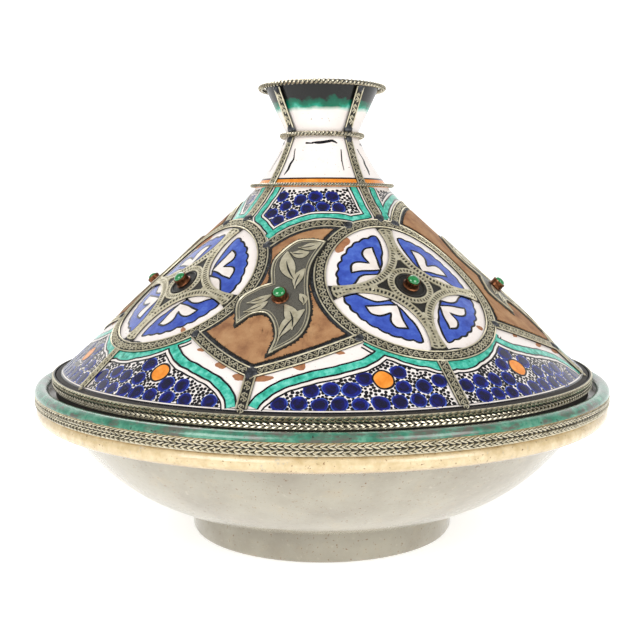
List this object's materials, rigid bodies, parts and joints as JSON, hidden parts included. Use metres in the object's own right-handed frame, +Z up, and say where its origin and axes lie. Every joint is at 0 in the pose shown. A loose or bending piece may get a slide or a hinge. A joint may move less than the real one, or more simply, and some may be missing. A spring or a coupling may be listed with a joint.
{
  "type": "tagine pot",
  "caption": "Decorated clay tagine: a footed serving bowl and a hollow conical lid with a cup-shaped knob, bound in braided and pierced white metal with glass stones",
  "frame": {"origin": "centre of the foot's underside, on the surface that the pot stands on", "axes": "+Z is up the pot's axis; -Y faces the viewer, where two medallions stand either side of a shield; +X is to the right"},
  "size_m": [0.33, 0.33, 0.2574],
  "materials": {
    "glazed_clay": "gloss",
    "painted_glaze": "gloss",
    "white_metal": "satin",
    "leather": "matte",
    "copper": "satin",
    "green_glass": "gloss"
  },
  "bodies": {
    "bowl": {"bowl": "glazed_clay", "bowl_braid": "white_metal"},
    "lid": {"lid": "painted_glaze", "lid_braid": "white_metal", "collar_ring": "white_metal", "waist_ring": "white_metal", "knob_rim_ring": "white_metal", "knob_strap_1": "white_metal", "knob_strap_2": "white_metal", "knob_strap_3": "white_metal", "knob_strap_4": "white_metal", "neck_strap_1": "white_metal", "neck_strap_2": "white_metal", "neck_strap_3": "white_metal", "neck_strap_4": "white_metal", "medallion_ring_1": "white_metal", "medallion_ring_2": "white_metal", "medallion_ring_3": "white_metal", "medallion_ring_4": "white_metal", "medallion_star_1": "white_metal", "medallion_star_2": "white_metal", "medallion_star_3": "white_metal", "medallion_star_4": "white_metal", "medallion_foot_strap_1": "white_metal", "medallion_foot_strap_2": "white_metal", "medallion_foot_strap_3": "white_metal", "medallion_foot_strap_4": "white_metal", "shield_arch_1": "white_metal", "shield_arch_2": "white_metal", "shield_arch_3": "white_metal", "shield_arch_4": "white_metal", "shield_vee_1": "white_metal", "shield_vee_2": "white_metal", "shield_vee_3": "white_metal", "shield_vee_4": "white_metal", "shield_leaf_1": "white_metal", "shield_leaf_2": "white_metal", "shield_leaf_3": "white_metal", "shield_leaf_4": "white_metal", "shield_leather_1": "leather", "shield_leather_2": "leather", "shield_leather_3": "leather", "shield_leather_4": "leather", "stone_cup_1": "copper", "stone_cup_2": "copper", "stone_cup_3": "copper", "stone_cup_4": "copper", "stone_cup_5": "copper", "stone_cup_6": "copper", "stone_cup_7": "copper", "stone_cup_8": "copper", "glass_stone_1": "green_glass", "glass_stone_2": "green_glass", "glass_stone_3": "green_glass", "glass_stone_4": "green_glass", "glass_stone_5": "green_glass", "glass_stone_6": "green_glass", "glass_stone_7": "green_glass", "glass_stone_8": "green_glass"}
  },
  "joints": [
    {"name": "lid_lift", "type": "slide", "parent": "bowl", "child": "lid", "axis": [0, 0, 1], "range_m": [0, 0.25]}
  ]
}
